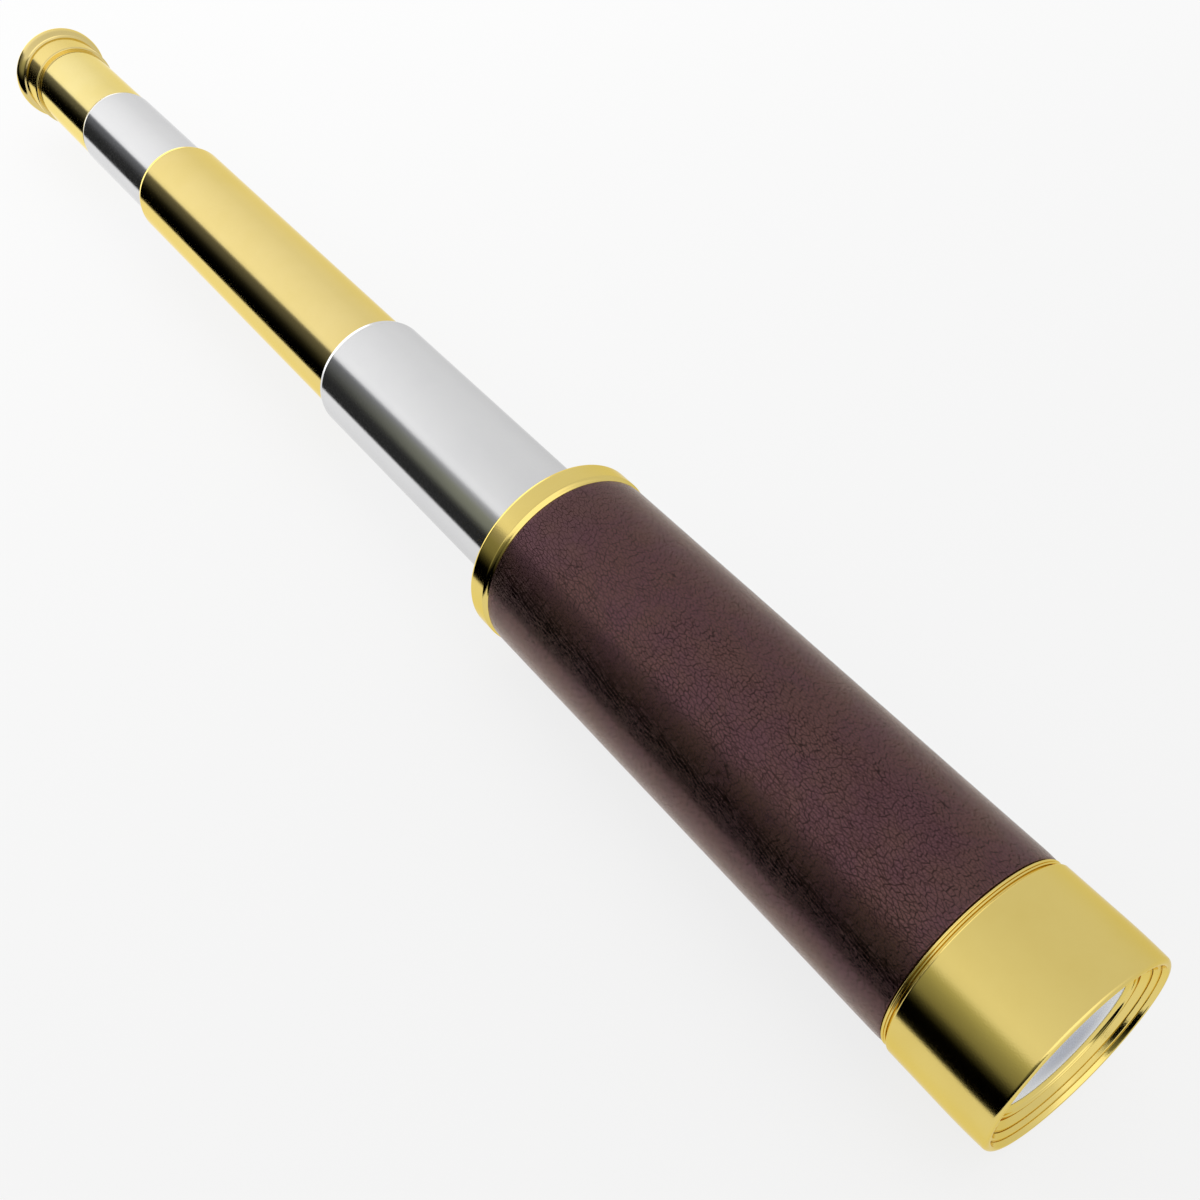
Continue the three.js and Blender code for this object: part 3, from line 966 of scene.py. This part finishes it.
LAMP_STRIP = [
    (-4, 0.03, OLIVE),
    (8, 0.10, OLIVE),
    (26, 0.22, OLIVE),
    (36, 1.2, WHITE),
    (50, 1.35, WHITE),
    (112, 1.3, WHITE),
    (140, 0.90, WHITE),
    (180, 0.75, WHITE),
]
END_WHITE = (0.95, 0.95, 0.95, 1)  # beyond the front of the telescope
EYE_WHITE = (1.5, 1.5, 1.5, 1)  # beyond its eye end
EYE_LIFT = 0.27  # how much brighter the surroundings get towards the eye end


def ramp(tree, value, stops):
    """Colours over angles from -180 to 180 degrees. Each stop is (angle, brightness, tint)."""
    turned = mapped_linear(tree, value, -180, 180)
    node = tree.nodes.new("ShaderNodeValToRGB")
    tree.links.new(turned, node.inputs["Fac"])
    elements = node.color_ramp.elements
    elements.remove(elements[-1])
    for i, (angle, level, tint) in enumerate(stops):
        position = (angle + 180) / 360
        element = elements[0] if i == 0 else elements.new(position)
        element.position = position
        element.color = (*[level * channel for channel in tint], 1)
    return node.outputs["Color"]


def studio_world():
    """White all round, with a dark strip low on the -Y side that gives the metal its contrast."""
    world = bpy.data.worlds.new("studio")
    bpy.context.scene.world = world
    world.use_nodes = True
    tree = world.node_tree
    source = add(tree, "ShaderNodeTexCoord")
    split = add(tree, "ShaderNodeSeparateXYZ")
    tree.links.new(source.outputs["Generated"], split.inputs[0])
    x, y, z = split.outputs  # x is 1 beyond the front of the telescope and -1 beyond its eye end
    near_side = maths(tree, "MULTIPLY", y, -1.0)
    height = maths(tree, "DEGREES", maths(tree, "ARCTAN2", z, near_side))
    layers = (HOOD_STRIP, NEAR_STRIP, FAR_STRIP, FRONT_STRIP, LAMP_STRIP)
    hood, near, far, front, lamp = [ramp(tree, height, FLOOR + strip) for strip in layers]
    around = blended(tree, mapped_linear(tree, x, -0.25, -0.55), hood, near)
    around = blended(tree, mapped_linear(tree, x, -0.64, -0.74), around, far)
    around = blended(tree, mapped(tree, x, 0.30, 0.55, 0, 1), around, front)
    around = blended(tree, mapped(tree, x, 0.44, 0.62, 0, 1), around, lamp)
    closed = blended(tree, mapped(tree, x, 0.92, 0.97, 0, 1), around, END_WHITE)
    closed = blended(tree, mapped(tree, x, -0.94, -0.90, 1, 0), closed, EYE_WHITE)
    toward_eye = mapped_linear(tree, x, -0.50, -0.88)
    lift = maths(tree, "ADD", maths(tree, "MULTIPLY", toward_eye, EYE_LIFT), 1.0)
    background = tree.nodes["Background"]
    tree.links.new(closed, background.inputs["Color"])
    tree.links.new(lift, background.inputs["Strength"])


FLOOR_SIZE = 12
FLOOR_GAP = 0.0002  # below the telescope
FLOOR_GLOW_EYE = 0.89  # beyond the eye end
FLOOR_GLOW_FRONT = 0.80  # beyond the front
DOME_RADIUS = 5.5
DOME_GLOW = 0.92


def pale(name, base):
    """A matt material that can glow white. The caller says how strongly."""
    material, tree, shader = new_material(name)
    shader.inputs["Base Color"].default_value = (base, base, base, 1)
    shader.inputs["Roughness"].default_value = 1.0
    shader.inputs["Specular IOR Level"].default_value = 0.0
    shader.inputs["Emission Color"].default_value = (1, 1, 1, 1)
    return material, tree, shader.inputs["Emission Strength"]


def stage_floor():
    """A pale, faintly glowing floor. The metal reflects the surroundings instead of it."""
    bpy.ops.mesh.primitive_plane_add(size=FLOOR_SIZE, location=(0, 0, cad_low.z - FLOOR_GAP))
    floor = bpy.context.object
    floor.name = "stage_floor"
    material, tree, strength = pale("pale_floor", 0.10)
    along = add(tree, "ShaderNodeSeparateXYZ", Vector=object_coordinates(tree))
    glow = mapped(tree, along.outputs["X"], -0.45, 0.30, FLOOR_GLOW_EYE, FLOOR_GLOW_FRONT)
    tree.links.new(glow, strength)
    floor.data.materials.append(material)
    floor.visible_glossy = False


def stage_backdrop():
    """A pale dome that only the camera sees, so that the floor runs into white."""
    bpy.ops.mesh.primitive_uv_sphere_add(radius=DOME_RADIUS, segments=64, ring_count=32)
    dome = bpy.context.object
    dome.name = "stage_backdrop"
    material, _, strength = pale("pale_backdrop", 0.0)
    strength.default_value = DOME_GLOW
    dome.data.materials.append(material)
    dome.visible_glossy = False
    dome.visible_diffuse = False
    dome.visible_transmission = False
    dome.visible_shadow = False


def overhead_light():
    """A broad, weak lamp for a soft shade on the floor. The metal doesn't reflect it."""
    data = bpy.data.lights.new("overhead", "AREA")
    data.shape = "DISK"
    data.size = 1.4
    data.energy = 6.0
    lamp = bpy.data.objects.new("overhead", data)
    bpy.context.scene.collection.objects.link(lamp)
    lamp.location = (0.2, 0.3, 1.6)
    lamp.rotation_mode = "QUATERNION"
    lamp.rotation_quaternion = (-Vector(lamp.location)).to_track_quat("-Z", "Y")
    lamp.visible_glossy = False


# ---------------------------------------------------------------- camera
VIEW_AZIMUTH = math.radians(53.16)
VIEW_ELEVATION = math.radians(46.66)
VIEW_DISTANCE = 0.3482
AIM_SHARE = 0.3065  # how far along the telescope the camera aims, from the front
AIM_ASIDE = -0.0013
LENS = 43.455  # focal length and sensor width, in millimetres
SENSOR = 36.0


def camera():
    """Looks down on the telescope from its front, close enough for strong perspective."""
    data = bpy.data.cameras.new("camera")
    data.lens = LENS
    data.sensor_width = SENSOR
    data.clip_start = 0.01
    view = bpy.data.objects.new("camera", data)
    bpy.context.scene.collection.objects.link(view)
    flat = math.cos(VIEW_ELEVATION)
    back = Vector((
        math.sin(VIEW_AZIMUTH) * flat,
        -math.cos(VIEW_AZIMUTH) * flat,
        math.sin(VIEW_ELEVATION),
    ))
    aim = Vector((cad_high.x + (cad_low.x - cad_high.x) * AIM_SHARE, AIM_ASIDE, AXIS_Z))
    view.location = aim + back * VIEW_DISTANCE
    view.rotation_mode = "QUATERNION"
    view.rotation_quaternion = (-back).to_track_quat("-Z", "Y")
    bpy.context.scene.camera = view


camera()
build_pieces()
studio_world()
stage_floor()
stage_backdrop()
overhead_light()
bpy.context.scene.view_settings.view_transform = "Standard"
